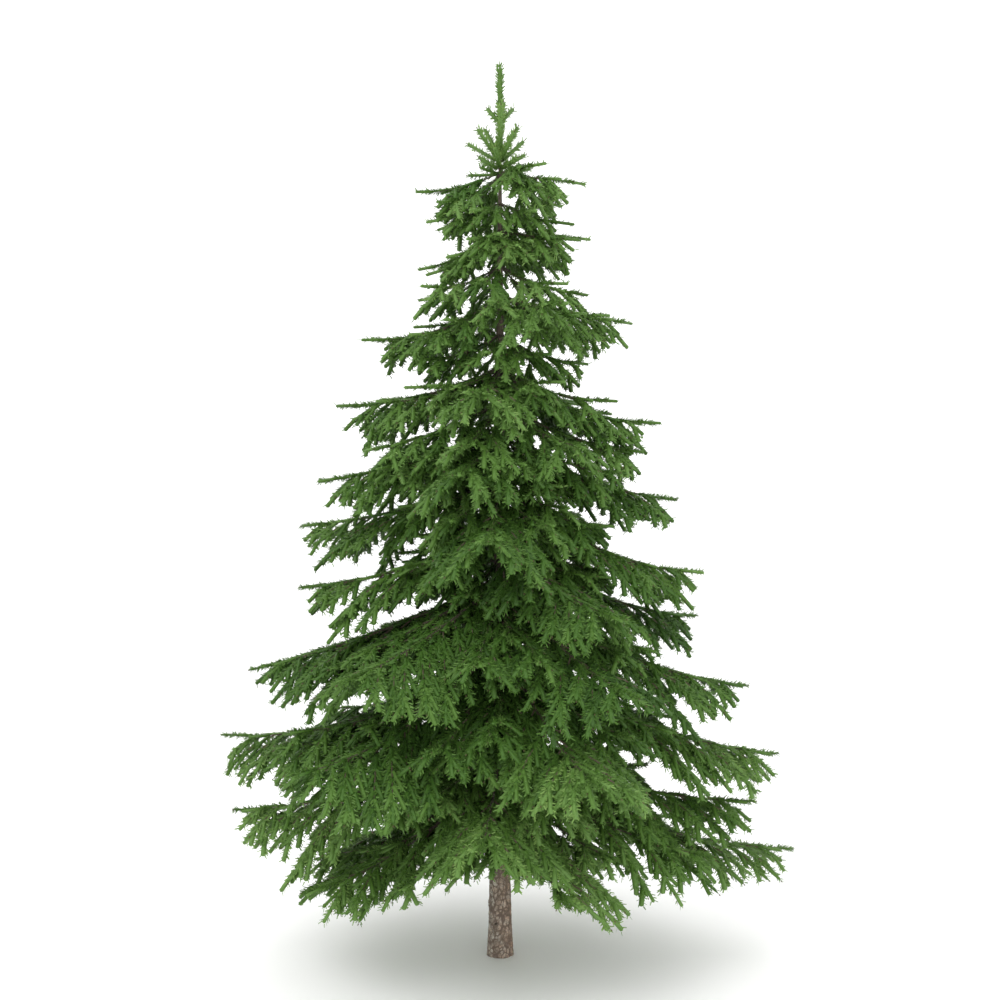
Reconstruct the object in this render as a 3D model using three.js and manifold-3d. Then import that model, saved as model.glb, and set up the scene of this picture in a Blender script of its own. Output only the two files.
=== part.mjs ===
// Douglas fir Christmas tree, three metres tall, rooted in level ground.
// Millimetres, +Z up. The origin is the middle of the flat cut under the trunk.
// The front of the tree faces -Y and its right side is +X.

import * as THREE from 'three';
import { mergeVertices } from 'three/addons/utils/BufferGeometryUtils.js';
import Module from 'manifold-3d';

const wasm = await Module();
wasm.setup();

// The tree as a whole
const TREE_HEIGHT = 3000;
const SEAT_GAP = 0.3; // between a piece and the one that carries it
const SPACE_GAP = 2; // least distance between two masses of needles
const SEED = 20261;
const KEY_STEP = 0x9e3779b1;
const KEY_LAST = 0x85ebca6b;
const MERGE_DISTANCE = 1e-3; // corners that lie this near are one corner
const UPRIGHT = 1e-3; // a line with less sideways run than this stands upright

// What each draw of the seeded rule decides
const DRAW = {
  heading: 0,
  sweep: 1,
  fan: 2,
  droop: 3,
  length: 4,
  leaderHeading: 90,
  leaderRise: 91,
  leaderLength: 93,
};

// Trunk: a straight taper that widens into the root flare at the ground
const TRUNK_TOP = 2655;
const TRUNK_TOP_DIAMETER = 11;
const TRUNK_TAPER = 0.0246; // loss of diameter for each millimetre of height
const FLARE_WIDTH = 14; // added to the diameter at the ground
const FLARE_FADE = 108; // height over which the flare falls to a third
const FLARE_REACH = 420; // height of the last ring that shows the flare
const FLARE_RINGS = 6;
const FLARE_CROWDING = 1.6; // above 1, the rings crowd towards the ground
const TRUNK_SIDES = 16;

// Whorls from the lowest to the highest. Boughs leave the trunk at the height "node", and those of
// the sides end at the height "tip", "reach" from the trunk's axis. Front and back boughs have only
// the share "depth" of that reach. "tilt" lifts the left tip and lowers the right one, and "lean" is
// the share by which the right side reaches further than the middle. "bends" say how far the left
// and the right boughs dip before their tips, against the tip's own drop.
const WHORLS = [
  {
    boughs: 'lowest',
    node: 640,
    tip: 320,
    reach: 865,
    tilt: -20,
    lean: 0.155,
    bends: [0.95, 0.92],
    depth: 0.78,
  },
  { boughs: 'backPair', node: 725, tip: 530, reach: 866, tilt: -12, lean: -0.02, bends: [1, 1.05] },
  { boughs: 'leftPair', node: 1060, tip: 699, reach: 950, tilt: 22, lean: -0.016, bends: [1.1, 0.9] },
  { boughs: 'rightPair', node: 1265, tip: 940, reach: 832, tilt: 31, lean: 0, bends: [0.68, 0.9] },
  { boughs: 'leftFour', node: 1420, tip: 1184, reach: 690, tilt: 60, lean: 0.03, bends: [0.85, 0.95] },
  { boughs: 'rightFour', node: 1590, tip: 1367, reach: 700, tilt: 74, lean: -0.035, bends: [0.78, 1] },
  { boughs: 'middleFour', node: 1755, tip: 1565, reach: 605, tilt: 30, lean: 0, bends: [0.72, 0.9] },
  { boughs: 'rightFour', node: 1975, tip: 1823, reach: 533, tilt: 32, lean: -0.032, bends: [1, 1] },
  { boughs: 'leftFour', node: 2215, tip: 2105, reach: 436, tilt: -45, lean: 0.013, bends: [1, 0.9] },
  { boughs: 'rightFour', node: 2435, tip: 2370, reach: 255, tilt: -47, lean: 0.06, bends: [0.8, 0.8] },
  { boughs: 'leftFour', node: 2640, tip: 2590, reach: 250, tilt: -26, lean: 0, bends: [0.9, 0.8] },
];
const USUAL_DEPTH = 0.92;
const FRONT_DROP = 0.81; // drop of a front or back bough against that of a side one

// Headings of the boughs round the trunk, in degrees from the right side towards the back
const HEADINGS = {
  lowest: { right: 2, back: 76, back_left: 150, front_left: 206, front_right: 285 },
  backPair: { right: -8, back_right: 54, back_left: 124, left: 188, front: 266 },
  leftPair: { right: -4, back: 84, left: 174, front_left: 228, front_right: 292 },
  rightPair: { right: -6, back: 98, left: 186, front_left: 241, front_right: 304 },
  leftFour: { right: 9, back: 118, left: 189, front: 298 },
  middleFour: { right: 9, back: 112, left: 189, front: 258 },
  rightFour: { right: -9, back: 62, left: 171, front: 264 },
};
const HEADING_SPREAD = 6; // seeded turn of each bough, degrees either way
const SWEEP_SHARE = 0.05; // sideways bend of a bough, as a share of its reach, either way

// Limbs: the bare inner ends of the boughs of the lowest whorls
const LIMBED_WHORLS = 2;
const LIMB_END = 0.26; // share of the bough that is bare
const LIMB_DIAMETERS = [24, 17];
const LIMB_SIDES = 6;
const LIMB_STEPS = 2;

// Stems that carry the needles, and the terminal shoots they end in
const STEM_WIDTH_BASE = 6.5;
const STEM_WIDTH_SHARE = 0.013; // further width at the trunk, as a share of the reach
const STEM_TRUNK_SHARE = 0.5; // widest stem against the trunk's diameter at its node
const STEM_STEPS = 4;
const TERMINAL_START = 0.8; // share of the bough where its terminal shoot begins
const TERMINAL_CLEAR = 85; // free end of the terminal shoot, past the side sprays
const TERMINAL_WIDTH = 13;
const TERMINAL_TOOTH = 22; // sideways reach of the short side shoots
const TERMINAL_STEPS = 2;

// Side sprays of a bough. Each stands for several real ones, so it is longer and turned further out.
const SPRAY_FIRST = 0.18; // share of the bough where they begin
const SPRAY_AFTER_LIMB = 0.05; // they begin this far past a limb's end
const SPRAY_SPACING = 102; // along the bough, between sprays of alternate sides
const SPRAY_FEWEST = 6;
const SPRAY_SHORTEST = 45; // a shorter one is left out
const SPRAY_LEAST = 55; // length of a side spray at the bough's tip
const SPRAY_SHARE = 0.78; // further length at the trunk, as a share of the reach
const SPRAY_WEDGE = 1.05; // longest spray against its distance from the trunk's axis
const SPRAY_FAN = 54; // turn of a side spray from the bough's heading, degrees
const SPRAY_DROOPS = [19, 7]; // degrees below level, at the trunk and at the tip
const SPRAY_UPPER_DROOP = 10; // further degrees in the highest whorl
const SPRAY_ANGLE_SPREAD = 8; // seeded change of fan and droop, degrees either way
const SPRAY_LENGTH_SPREAD = 0.2; // seeded change of length, as a share of it, either way
const SPRAY_SAG = 0.29; // fall of a spray's tip below its line, as a share of its length
const SPRAY_TRIES = [1, 0.8, 0.6, 0.45]; // lengths tried until the spray keeps to its own space
const SPRAY_STEPS = 2; // pairs of teeth
const LONG_SPRAY = 300; // a spray of this length and over has more of them
const LONG_SPRAY_STEPS = 3;

// Needled shoots: a three-sided core with a flat top and a keel, and the teeth that stand out of it
const CORE_WIDTH = 19;
const CORE_TAPER = 0.55; // loss of the core's width at its last ring
const CORE_TOP = 0.25; // height of the flat top over the axis, as a share of the width
const CORE_KEEL = 0.5; // depth of the keel under the axis, as a share of the width
const NECK_LENGTH = 26; // bare root of a spray, sunk in the stem
const NECK_WIDTH = 5;
const TOOTH_SHARE = 1.1; // sideways reach of a tooth against the length of its step
const TOOTH_FORWARD = 0.86; // place of a tooth's tip along its step
const TOOTH_FALL = 0.45; // loss of a tooth's reach at the last step
const TOOTH_DROOP = 0.12; // fall of a tooth's tip, as a share of its reach

// Leader: the top shoot, with rings of rising shoots below it
const LEADER_FOOT_WIDTH = 9;
const LEADER_NECK = 2822; // height where the needled top shoot begins
const LEADER_WIDTH = 14;
const LEADER_TOOTH = 9;
const LEADER_STEPS = 3;
const LEADER_RINGS = [
  { height: 2672, shoots: 5, length: 150, rise: 37, riseSpread: 8 },
  { height: 2690, shoots: 3, length: 145, rise: 57, riseSpread: 6 },
  { height: 2805, shoots: 3, length: 80, rise: 52, riseSpread: 6 },
];
const LEADER_RING_TURN = 0.4; // seeded turn of a ring's shoot, as a share of their spacing
const LEADER_RING_TOOTH = 0.42;
const LEADER_RING_STEPS = 2;

const BARK = { color: 0x72675a, roughness: 0.9, metalness: 0 };
const LIMB_BARK = { color: 0x5d5243, roughness: 0.88, metalness: 0 };
const NEEDLES = { color: 0x445b31, roughness: 0.62, metalness: 0 };

const radians = THREE.MathUtils.degToRad;
const { lerp } = THREE.MathUtils;

// A number from 0 to 1 that depends only on the seed and the keys
function chance(...keys) {
  let hash = SEED;
  for (const key of keys) {
    hash = Math.imul(hash ^ (key + 1), KEY_STEP);
    hash ^= hash >>> 15;
  }
  hash = Math.imul(hash, KEY_LAST);
  hash ^= hash >>> 13;
  return (hash >>> 0) / 2 ** 32;
}

function spread(amount, ...keys) {
  return amount * (2 * chance(...keys) - 1);
}

// Diameter of the trunk at a height
function trunkDiameter(height) {
  const taper = TRUNK_TOP_DIAMETER + TRUNK_TAPER * (TRUNK_TOP - height);
  return taper + FLARE_WIDTH * Math.exp(-height / FLARE_FADE);
}

// The trunk, or a sleeve round it that is wider by the margin
function trunkGeometry(margin) {
  const heights = [];
  for (let ring = 0; ring <= FLARE_RINGS; ring += 1) {
    heights.push(FLARE_REACH * (ring / FLARE_RINGS) ** FLARE_CROWDING);
  }
  heights.push(TRUNK_TOP);
  const outline = heights.map((z) => new THREE.Vector2(trunkDiameter(z) / 2 + margin, z));
  const foot = new THREE.Vector2(0, 0);
  const top = new THREE.Vector2(0, TRUNK_TOP);
  const geometry = new THREE.LatheGeometry([foot, ...outline, top], TRUNK_SIDES);
  return geometry.rotateX(Math.PI / 2);
}

// The line of a bough in its own frame: X outward, Z up, origin on the trunk's axis at the node.
// It leaves the trunk downward and flattens towards its tip.
function boughLine(reach, drop, bend, sweep) {
  return new THREE.QuadraticBezierCurve3(
    new THREE.Vector3(0, 0, 0),
    new THREE.Vector3(reach / 2, 0, -bend * drop),
    new THREE.Vector3(reach, sweep, -drop),
  );
}

// The line of a spray: straight from its root, then sagging
function sprayLine(root, heading, rise, length, sagShare) {
  const turn = new THREE.Euler(0, -radians(rise), radians(heading), 'ZYX');
  const run = new THREE.Vector3(length, 0, 0).applyEuler(turn);
  const middle = root.clone().addScaledVector(run, 0.5);
  const tip = root.clone().add(run);
  tip.z -= sagShare * length;
  return new THREE.QuadraticBezierCurve3(root, middle, tip);
}

// The point of a curve at a share of its length, with the directions to its left and upward
function frameAt(curve, share) {
  const ahead = curve.getTangent(share);
  const side = new THREE.Vector3(0, 0, 1).cross(ahead);
  if (side.length() < UPRIGHT) {
    side.set(1, 0, 0);
  }
  side.normalize();
  const up = new THREE.Vector3().crossVectors(ahead, side);
  return { middle: curve.getPoint(share), side, up };
}

function bufferGeometry(positions, triangles) {
  const geometry = new THREE.BufferGeometry();
  geometry.setAttribute('position', new THREE.Float32BufferAttribute(positions, 3));
  geometry.setIndex(triangles);
  return geometry;
}

// A closed tapering tube along the first part of a curve
function limbGeometry(curve) {
  const positions = [];
  const triangles = [];
  for (let step = 0; step <= LIMB_STEPS; step += 1) {
    const part = step / LIMB_STEPS;
    const radius = lerp(...LIMB_DIAMETERS, part) / 2;
    const { middle, side, up } = frameAt(curve, LIMB_END * part);
    for (let corner = 0; corner < LIMB_SIDES; corner += 1) {
      const angle = (2 * Math.PI * corner) / LIMB_SIDES;
      const point = middle.clone();
      point.addScaledVector(side, radius * Math.cos(angle));
      point.addScaledVector(up, radius * Math.sin(angle));
      positions.push(...point);
    }
  }
  for (let step = 0; step < LIMB_STEPS; step += 1) {
    for (let corner = 0; corner < LIMB_SIDES; corner += 1) {
      const a = step * LIMB_SIDES + corner;
      const b = step * LIMB_SIDES + ((corner + 1) % LIMB_SIDES);
      triangles.push(a, b, a + LIMB_SIDES, b, b + LIMB_SIDES, a + LIMB_SIDES);
    }
  }
  const last = LIMB_STEPS * LIMB_SIDES;
  for (let corner = 1; corner < LIMB_SIDES - 1; corner += 1) {
    triangles.push(0, corner + 1, corner);
    triangles.push(last, last + corner, last + corner + 1);
  }
  return bufferGeometry(positions, triangles);
}

// A three-sided shoot along a curve, ending in a point. A station is a ring's share of the curve,
// its width, and the sideways reach of the pair of teeth on the step after it, if any.
function shootGeometry(curve, stations) {
  const positions = [];
  const triangles = [];
  const corner = (share, across, above) => {
    const { middle, side, up } = frameAt(curve, share);
    positions.push(...middle.addScaledVector(side, across).addScaledVector(up, above));
    return positions.length / 3 - 1;
  };
  const rings = stations.map(({ share, width }) => [
    corner(share, width / 2, width * CORE_TOP),
    corner(share, -width / 2, width * CORE_TOP),
    corner(share, 0, -width * CORE_KEEL),
  ]);
  const tip = corner(1, 0, 0);
  const lastRing = rings[rings.length - 1];
  triangles.push(rings[0][0], rings[0][2], rings[0][1]);
  for (let edge = 0; edge < 3; edge += 1) {
    triangles.push(lastRing[edge], lastRing[(edge + 1) % 3], tip);
  }
  for (let step = 0; step < rings.length - 1; step += 1) {
    const { share, width, tooth } = stations[step];
    const [left, right, keel] = rings[step];
    const [farLeft, farRight, farKeel] = rings[step + 1];
    triangles.push(left, right, farLeft, right, farRight, farLeft);
    if (tooth === 0) {
      triangles.push(right, keel, farRight, keel, farKeel, farRight);
      triangles.push(keel, left, farKeel, left, farLeft, farKeel);
      continue;
    }
    const toothShare = lerp(share, stations[step + 1].share, TOOTH_FORWARD);
    const leftTooth = corner(toothShare, width / 2 + tooth, -TOOTH_DROOP * tooth);
    const rightTooth = corner(toothShare, -width / 2 - tooth, -TOOTH_DROOP * tooth);
    triangles.push(left, farLeft, leftTooth, right, rightTooth, farRight);
    triangles.push(rightTooth, right, keel, rightTooth, keel, farKeel, rightTooth, farKeel, farRight);
    triangles.push(leftTooth, farLeft, farKeel, leftTooth, farKeel, keel, leftTooth, keel, left);
  }
  return bufferGeometry(positions, triangles);
}

// The rings of a spray: its bare neck, then a core with a pair of teeth to each step
function sprayStations(length, steps, toothShare) {
  const neck = NECK_LENGTH / length;
  const step = (1 - neck) / (steps + 1);
  const stations = [{ share: 0, width: NECK_WIDTH, tooth: 0 }];
  for (let index = 0; index <= steps; index += 1) {
    const part = index / steps;
    const reach = toothShare * step * length * (1 - TOOTH_FALL * part);
    const tooth = index < steps ? reach : 0;
    stations.push({ share: neck + step * index, width: CORE_WIDTH * (1 - CORE_TAPER * part), tooth });
  }
  return stations;
}

// The rings of a bough: its bare stem from a share of its length, then the terminal shoot
function boughStations(bough, start) {
  const widest = STEM_TRUNK_SHARE * trunkDiameter(bough.node);
  const full = Math.min(widest, STEM_WIDTH_BASE + STEM_WIDTH_SHARE * bough.reach);
  const stations = [];
  for (let index = 0; index < STEM_STEPS; index += 1) {
    const share = lerp(start, TERMINAL_START, index / STEM_STEPS);
    stations.push({ share, width: lerp(full, STEM_WIDTH_BASE, share), tooth: 0 });
  }
  for (let index = 0; index <= TERMINAL_STEPS; index += 1) {
    const share = lerp(TERMINAL_START, 1, index / (TERMINAL_STEPS + 1));
    const width = TERMINAL_WIDTH * (1 - (CORE_TAPER * index) / TERMINAL_STEPS);
    stations.push({ share, width, tooth: index < TERMINAL_STEPS ? TERMINAL_TOOTH : 0 });
  }
  return stations;
}

// The rings of the leader: its bare foot, then the needled top shoot
function leaderStations(neckShare) {
  const stations = [{ share: 0, width: LEADER_FOOT_WIDTH, tooth: 0 }];
  for (let index = 0; index <= LEADER_STEPS; index += 1) {
    const share = lerp(neckShare, 1, index / (LEADER_STEPS + 1));
    stations.push({ share, width: LEADER_WIDTH, tooth: index < LEADER_STEPS ? LEADER_TOOTH : 0 });
  }
  return stations;
}

// A geometry as a solid that can be joined and cut
function solidOf(geometry) {
  const bare = geometry.clone();
  bare.deleteAttribute('normal');
  bare.deleteAttribute('uv');
  const merged = mergeVertices(bare, MERGE_DISTANCE);
  const vertProperties = new Float32Array(merged.attributes.position.array);
  const triVerts = new Uint32Array(merged.index.array);
  return new wasm.Manifold(new wasm.Mesh({ numProp: 3, vertProperties, triVerts }));
}

function geometryOf(solid) {
  const { numProp, vertProperties, triVerts } = solid.getMesh();
  const positions = [];
  for (let start = 0; start < vertProperties.length; start += numProp) {
    positions.push(...vertProperties.subarray(start, start + 3));
  }
  const geometry = bufferGeometry(positions, Array.from(triVerts));
  geometry.computeVertexNormals();
  return geometry;
}

// Everything that already has its place, in the tree's frame
const placed = [];

function place(owner, solid) {
  placed.push({ owner, solid, box: solid.boundingBox() });
}

function boxesMeet(a, b) {
  return [0, 1, 2].every(
    (axis) => a.min[axis] - SPACE_GAP < b.max[axis] && b.min[axis] - SPACE_GAP < a.max[axis],
  );
}

function hasRoom(owner, solid) {
  const box = solid.boundingBox();
  const near = placed.filter((other) => other.owner !== owner && boxesMeet(box, other.box));
  return near.every((other) => solid.minGap(other.solid, SPACE_GAP) >= SPACE_GAP);
}

// The sizes of every bough, worked out from its whorl
function listBoughs() {
  const boughs = [];
  WHORLS.forEach((whorl, level) => {
    const { node, tip, tilt, lean, bends, depth = USUAL_DEPTH } = whorl;
    Object.entries(HEADINGS[whorl.boughs]).forEach(([side, base], order) => {
      const heading = base + spread(HEADING_SPREAD, level, order, DRAW.heading);
      const across = Math.cos(radians(heading));
      const reach = whorl.reach * lerp(depth, 1, across ** 2) * (1 + lean * across);
      const drop = (node - tip) * lerp(FRONT_DROP, 1, across ** 2) + tilt * across;
      const bend = lerp(...bends, (1 + across) / 2);
      const sweep = reach * spread(SWEEP_SHARE, level, order, DRAW.sweep);
      const name = `${String(level + 1).padStart(2, '0')}_${side}`;
      const limbed = level < LIMBED_WHORLS;
      const line = boughLine(reach, drop, bend, sweep);
      boughs.push({ name, level, order, heading, node, reach, limbed, line });
    });
  });
  return boughs;
}

// A solid of one bough, moved from the bough's frame to the tree's
function toTree(bough, solid) {
  return solid.rotate([0, 0, bough.heading]).translate([0, 0, bough.node]);
}

// A solid of the tree's frame, moved to one bough's
function toBough(bough, solid) {
  return solid.translate([0, 0, -bough.node]).rotate([0, 0, -bough.heading]);
}

function limbOf(bough, sleeve) {
  return solidOf(limbGeometry(bough.line)).subtract(toBough(bough, sleeve));
}

// The stem starts at the trunk, or just past the limb's end where the bough has one
function stemOf(bough, sleeve) {
  if (bough.limbed) {
    const start = LIMB_END + SEAT_GAP / bough.line.getTangent(LIMB_END).x / bough.reach;
    return solidOf(shootGeometry(bough.line, boughStations(bough, start)));
  }
  const stem = solidOf(shootGeometry(bough.line, boughStations(bough, 0)));
  return stem.subtract(toBough(bough, sleeve));
}

// Side sprays from alternate sides of a bough. One that meets a neighbour is shortened or skipped.
function sideSpraysOf(bough) {
  const first = bough.limbed ? LIMB_END + SPRAY_AFTER_LIMB : SPRAY_FIRST;
  const last = 1 - (TERMINAL_CLEAR + SPRAY_SHORTEST * Math.cos(radians(SPRAY_FAN))) / bough.reach;
  const count = Math.max(SPRAY_FEWEST, Math.round(((last - first) * bough.reach) / SPRAY_SPACING));
  const upperDroop = (SPRAY_UPPER_DROOP * bough.level) / (WHORLS.length - 1);
  const sprays = [];
  for (let index = 0; index < count; index += 1) {
    const keys = [bough.level, bough.order, index];
    const share = lerp(first, last, index / (count - 1));
    const side = (index + bough.order) % 2 === 0 ? 1 : -1;
    const fan = SPRAY_FAN + spread(SPRAY_ANGLE_SPREAD, ...keys, DRAW.fan);
    const usual = lerp(...SPRAY_DROOPS, share) + upperDroop;
    const droop = usual + spread(SPRAY_ANGLE_SPREAD, ...keys, DRAW.droop);
    const full = SPRAY_LEAST + SPRAY_SHARE * bough.reach * (1 - share);
    const forward = Math.cos(radians(fan)) * Math.cos(radians(droop));
    const room = ((1 - share) * bough.reach - TERMINAL_CLEAR) / forward;
    const usualLength = Math.min(full, SPRAY_WEDGE * share * bough.reach, room);
    const longest = usualLength * (1 + spread(SPRAY_LENGTH_SPREAD, ...keys, DRAW.length));
    for (const part of SPRAY_TRIES) {
      const length = longest * part;
      if (length < SPRAY_SHORTEST) {
        break;
      }
      const line = sprayLine(bough.line.getPoint(share), side * fan, -droop, length, SPRAY_SAG);
      const steps = length < LONG_SPRAY ? SPRAY_STEPS : LONG_SPRAY_STEPS;
      const spray = solidOf(shootGeometry(line, sprayStations(length, steps, TOOTH_SHARE)));
      const standing = toTree(bough, spray);
      if (hasRoom(bough.name, standing)) {
        place(bough.name, standing);
        sprays.push(spray);
        break;
      }
    }
  }
  return sprays;
}

// The top shoot on its stem, with the rings of rising shoots
function leaderSolid() {
  const foot = TRUNK_TOP + SEAT_GAP;
  const line = new THREE.LineCurve3(new THREE.Vector3(0, 0, foot), new THREE.Vector3(0, 0, TREE_HEIGHT));
  const neckShare = (LEADER_NECK - foot) / (TREE_HEIGHT - foot);
  let leader = solidOf(shootGeometry(line, leaderStations(neckShare)));
  LEADER_RINGS.forEach((ring, level) => {
    for (let shoot = 0; shoot < ring.shoots; shoot += 1) {
      const turn = LEADER_RING_TURN * chance(DRAW.leaderHeading, level, shoot);
      const heading = (360 * (shoot + turn)) / ring.shoots;
      const rise = ring.rise + spread(ring.riseSpread, DRAW.leaderRise, level, shoot);
      const length = ring.length * (1 + spread(SPRAY_LENGTH_SPREAD, DRAW.leaderLength, level, shoot));
      const side = sprayLine(new THREE.Vector3(0, 0, ring.height), heading, rise, length, 0);
      const stations = sprayStations(length, LEADER_RING_STEPS, LEADER_RING_TOOTH);
      leader = leader.add(solidOf(shootGeometry(side, stations)));
    }
  });
  return leader;
}

function meshOf(name, geometry, finish) {
  const mesh = new THREE.Mesh(geometry, new THREE.MeshStandardMaterial(finish));
  mesh.name = name;
  return mesh;
}

const tree = new THREE.Group();

const trunk = trunkGeometry(0);
const sleeve = solidOf(trunkGeometry(SEAT_GAP));
tree.add(meshOf('trunk', trunk, BARK));
place('trunk', solidOf(trunk));

const leader = leaderSolid();
tree.add(meshOf('leader', geometryOf(leader), NEEDLES));
place('leader', leader);

// Limbs and stems take their places before any side spray
const boughs = listBoughs();
for (const bough of boughs) {
  bough.group = new THREE.Group();
  bough.group.position.z = bough.node;
  bough.group.rotation.z = radians(bough.heading);
  tree.add(bough.group);
  if (bough.limbed) {
    const limb = limbOf(bough, sleeve);
    place(bough.name, toTree(bough, limb));
    bough.group.add(meshOf(`limb_${bough.name}`, geometryOf(limb), LIMB_BARK));
  }
  bough.stem = stemOf(bough, sleeve);
  place(bough.name, toTree(bough, bough.stem));
}

for (const bough of boughs) {
  const mass = sideSpraysOf(bough).reduce((whole, spray) => whole.add(spray), bough.stem);
  bough.group.add(meshOf(`needles_${bough.name}`, geometryOf(mass), NEEDLES));
}

export default tree;
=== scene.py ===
"""The looks of a three metre Douglas fir Christmas tree, rooted in level ground.

The frame holds the trunk, the bare limbs and a plain mass of needles for each bough. Here every
bough grows on by the same seeded rule, down to its side shoots, buds and single needles, and the
trunk and the boughs get their bark. Metres, +Z up; the front faces -Y and the right side is +X.
"""

import logging
import math
from collections.abc import Sequence
from dataclasses import dataclass, field, replace
from enum import Enum, IntEnum
from typing import Any

import bpy
import numpy as np
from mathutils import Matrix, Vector, noise


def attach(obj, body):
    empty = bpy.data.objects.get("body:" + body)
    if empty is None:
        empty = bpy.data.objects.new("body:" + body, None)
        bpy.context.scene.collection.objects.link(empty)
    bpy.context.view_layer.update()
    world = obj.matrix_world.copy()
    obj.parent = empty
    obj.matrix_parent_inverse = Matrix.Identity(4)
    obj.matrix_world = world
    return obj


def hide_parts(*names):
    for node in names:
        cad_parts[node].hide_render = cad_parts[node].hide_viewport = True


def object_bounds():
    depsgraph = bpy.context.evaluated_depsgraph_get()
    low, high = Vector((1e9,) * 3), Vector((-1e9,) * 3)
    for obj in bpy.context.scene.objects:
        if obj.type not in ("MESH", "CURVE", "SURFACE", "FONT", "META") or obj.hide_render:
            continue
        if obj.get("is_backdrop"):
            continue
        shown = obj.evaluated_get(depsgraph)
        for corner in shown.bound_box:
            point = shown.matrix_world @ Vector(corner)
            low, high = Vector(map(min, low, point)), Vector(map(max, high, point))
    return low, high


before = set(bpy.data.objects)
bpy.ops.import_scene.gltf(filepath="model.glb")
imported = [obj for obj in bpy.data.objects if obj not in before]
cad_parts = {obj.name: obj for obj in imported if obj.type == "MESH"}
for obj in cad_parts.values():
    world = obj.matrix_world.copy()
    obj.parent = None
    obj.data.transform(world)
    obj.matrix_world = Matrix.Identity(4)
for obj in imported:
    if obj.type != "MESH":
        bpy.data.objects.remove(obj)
CAD_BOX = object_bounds()

LOG = logging.getLogger("fir")
BODY = "root"
MM = 0.001
UP = np.array((0.0, 0.0, 1.0))
THIRDS = np.radians((90, 210, 330))

# The least length to divide by, and the level share below which a shoot counts as upright
TINY = 1e-9
UPRIGHT = 1e-3

# Heights of the trunk without its leader and of the whole tree
TRUNK_TOP = 2.655
TREE_TOP = 3.0

# Root, middle and tip of a curve, or of many curves with one row each
Curve = tuple[np.ndarray, np.ndarray, np.ndarray]

# The seed and the keys of the rule that the frame's boughs follow
SEED = 20261
KEY_STEP = 0x9E3779B1
KEY_LAST = 0x85EBCA6B
WORD = 0xFFFFFFFF

# Sockets and settings of the nodes that blend two colours, and inputs of those that map a range
SHARE, UNDER, OVER, BLENDED = 0, 6, 7, 2
MIX = {"data_type": "RGBA", "blend_type": "MIX"}
MULTIPLY = {"data_type": "RGBA", "blend_type": "MULTIPLY"}
RANGE = ("Value", "From Min", "From Max", "To Min", "To Max")


class Draw(IntEnum):
    """Numbers of the seeded draws, so that no two of them depend on each other."""

    HEADING = 0
    SWEEP = 1
    FAN = 2
    DROOP = 3
    LENGTH = 4
    TWIG_FAN = 5
    TWIG_FALL = 6
    TWIG_LENGTH = 7
    GREEN = 9
    SCAR = 70
    RING_TURN = 90
    RING_RISE = 91
    RING_GREEN = 92
    RING_LENGTH = 93


def linear(hex_colour: str) -> tuple[float, float, float, float]:
    """Turns an sRGB colour into the linear one that shaders take.

    Args:
        hex_colour: The colour as "#rrggbb".

    Returns:
        Linear red, green and blue, with an alpha of one.
    """
    channels = [int(hex_colour[start:start + 2], 16) / 255 for start in (1, 3, 5)]
    red, green, blue = (c / 12.92 if c <= 0.04045 else ((c + 0.055) / 1.055) ** 2.4 for c in channels)
    return red, green, blue, 1.0


def chance(*keys: int) -> float:
    """Gives a number from 0 to 1 that depends only on the seed and the keys.

    Args:
        *keys: Whole numbers that name the thing asked about.

    Returns:
        The number.
    """
    value = SEED
    for key in keys:
        value = ((value ^ (key + 1)) * KEY_STEP) & WORD
        value ^= value >> 15
    value = (value * KEY_LAST) & WORD
    value ^= value >> 13
    return value / 2**32


def spread(amount: float, *keys: int) -> float:
    """Gives a seeded number between minus the amount and the amount."""
    return amount * (2 * chance(*keys) - 1)


def lerp(start: float, end: float, share: float) -> float:
    """Gives the value that lies at a share of the way from start to end."""
    return start + (end - start) * share


def unit(vectors: np.ndarray) -> np.ndarray:
    """Scales vectors, along their last axis, to a length of one."""
    return vectors / np.maximum(np.linalg.norm(vectors, axis=-1, keepdims=True), TINY)


def aim(heading: float, rise: float) -> np.ndarray:
    """Gives the direction of a heading and a rise above level, both in degrees."""
    turn, tilt = math.radians(heading), math.radians(rise)
    return np.array((math.cos(turn) * math.cos(tilt), math.sin(turn) * math.cos(tilt), math.sin(tilt)))


def points_along(curve: Curve, share: float | np.ndarray) -> np.ndarray:
    """Gives the points at a share of the way along curves."""
    root, middle, tip = curve
    return (1 - share) ** 2 * root + 2 * share * (1 - share) * middle + share**2 * tip


def runs_along(curve: Curve, share: float | np.ndarray) -> np.ndarray:
    """Gives the directions of curves at a share of the way along them."""
    root, middle, tip = curve
    return unit((1 - share) * (middle - root) + share * (tip - middle))


def sagging_curve(start: np.ndarray, run: np.ndarray, length: float, sag: float = 0.0) -> Curve:
    """Gives the curve of a shoot that sets off in a direction and sags by a share of its length."""
    return start, start + run * length / 2, start + run * length - sag * length * UP


def shoot_frame(ahead: np.ndarray) -> tuple[np.ndarray, np.ndarray]:
    """Gives the directions to the side of shoots and to their upper face.

    Args:
        ahead: The direction of each shoot, one row each.

    Returns:
        The level side and the upper side of each shoot.
    """
    side = np.cross(UP, ahead)
    side[np.linalg.norm(side, axis=1) < UPRIGHT] = (1.0, 0.0, 0.0)
    side = unit(side)
    return side, np.cross(ahead, side)


def ring_round(turns: np.ndarray, side: np.ndarray, up: np.ndarray) -> np.ndarray:
    """Gives the directions round shoots.

    Args:
        turns: Angles from the side towards the upper face, in radians.
        side: The side of each shoot, one row each.
        up: The upper face of each shoot, one row each.

    Returns:
        One row for each shoot, with one direction for each angle.
    """
    return np.cos(turns)[:, None] * side[:, None] + np.sin(turns)[:, None] * up[:, None]


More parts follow.
